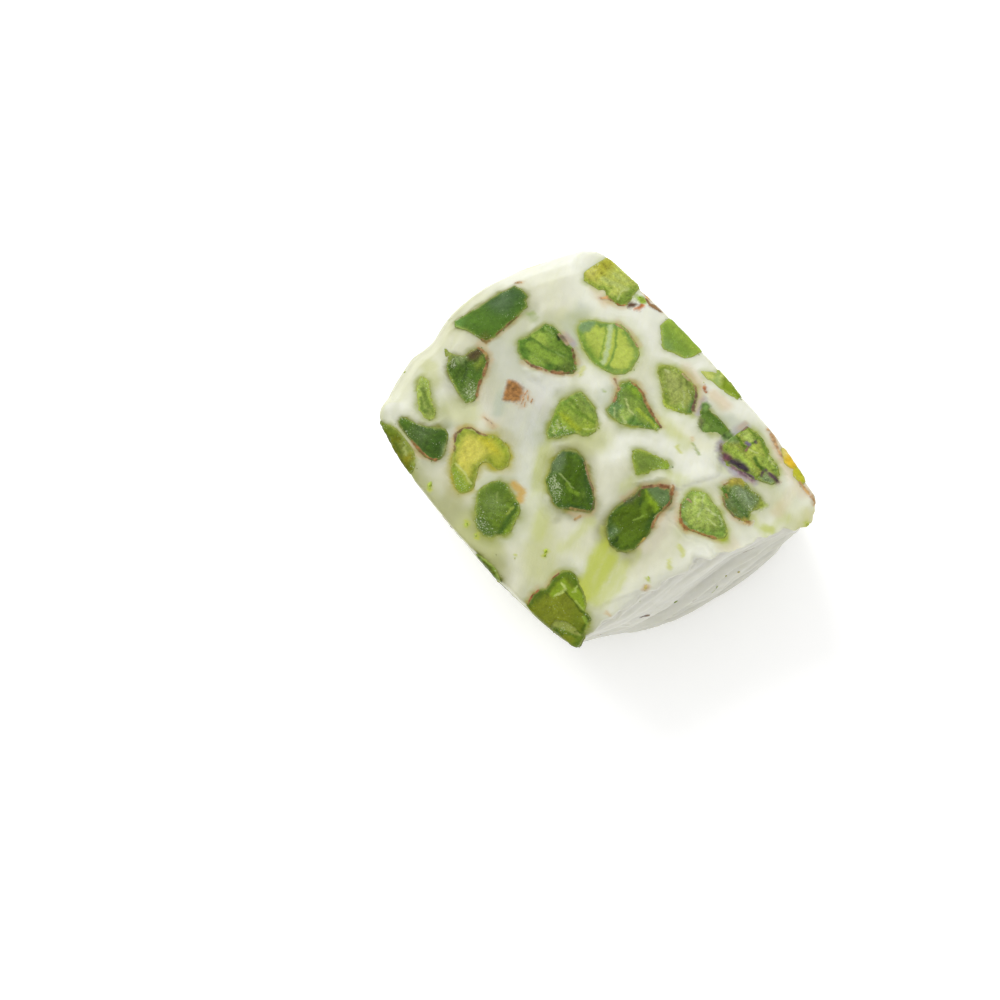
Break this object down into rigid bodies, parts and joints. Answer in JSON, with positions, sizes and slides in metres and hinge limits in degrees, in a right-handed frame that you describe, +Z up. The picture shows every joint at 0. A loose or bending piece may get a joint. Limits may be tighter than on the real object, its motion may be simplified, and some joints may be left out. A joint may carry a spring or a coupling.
{
  "type": "nougat bar",
  "caption": "Cut bar of white nougat with whole and broken pistachio kernels set through it, lying with its broad cut side up.",
  "frame": {"origin": "middle of the footprint, on the flat base the bar lies on", "axes": "+X along the bar towards its torn end, +Z up out of the broad cut side"},
  "size_m": [0.0436, 0.0326, 0.0235],
  "materials": {
    "nougat": "satin, slightly translucent, faintly uneven",
    "pistachio_dark": "satin, cut nut flesh, dark green",
    "pistachio_mid": "satin, cut nut flesh, mid green",
    "pistachio_bright": "satin, cut nut flesh, bright yellow-green",
    "pistachio_yellow": "satin, cut nut flesh, yellow"
  },
  "bodies": {
    "root": {"nougat": "nougat", "pistachio_back_01": "pistachio_mid", "pistachio_back_02": "pistachio_dark", "pistachio_back_03": "pistachio_bright", "pistachio_back_04": "pistachio_mid", "pistachio_back_05": "pistachio_mid", "pistachio_base_01": "pistachio_mid", "pistachio_base_02": "pistachio_dark", "pistachio_base_03": "pistachio_bright", "pistachio_base_04": "pistachio_mid", "pistachio_base_05": "pistachio_mid", "pistachio_base_06": "pistachio_dark", "pistachio_base_07": "pistachio_bright", "pistachio_front_01": "pistachio_dark", "pistachio_front_02": "pistachio_mid", "pistachio_front_03": "pistachio_bright", "pistachio_front_04": "pistachio_mid", "pistachio_front_05": "pistachio_bright", "pistachio_left_01": "pistachio_mid", "pistachio_top_01": "pistachio_bright", "pistachio_top_02": "pistachio_dark", "pistachio_top_03": "pistachio_dark", "pistachio_top_04": "pistachio_mid", "pistachio_top_05": "pistachio_bright", "pistachio_top_06": "pistachio_mid", "pistachio_top_07": "pistachio_mid", "pistachio_top_08": "pistachio_dark", "pistachio_top_09": "pistachio_yellow", "pistachio_top_10": "pistachio_mid", "pistachio_top_11": "pistachio_mid", "pistachio_top_12": "pistachio_mid", "pistachio_top_13": "pistachio_bright", "pistachio_top_14": "pistachio_mid", "pistachio_top_15": "pistachio_bright", "pistachio_top_16": "pistachio_mid", "pistachio_top_17": "pistachio_dark", "pistachio_top_18": "pistachio_dark", "pistachio_top_19": "pistachio_bright", "pistachio_top_20": "pistachio_mid", "pistachio_top_21": "pistachio_mid", "pistachio_top_22": "pistachio_mid", "pistachio_top_23": "pistachio_dark", "pistachio_top_24": "pistachio_bright", "pistachio_top_25": "pistachio_yellow"}
  },
  "joints": []
}
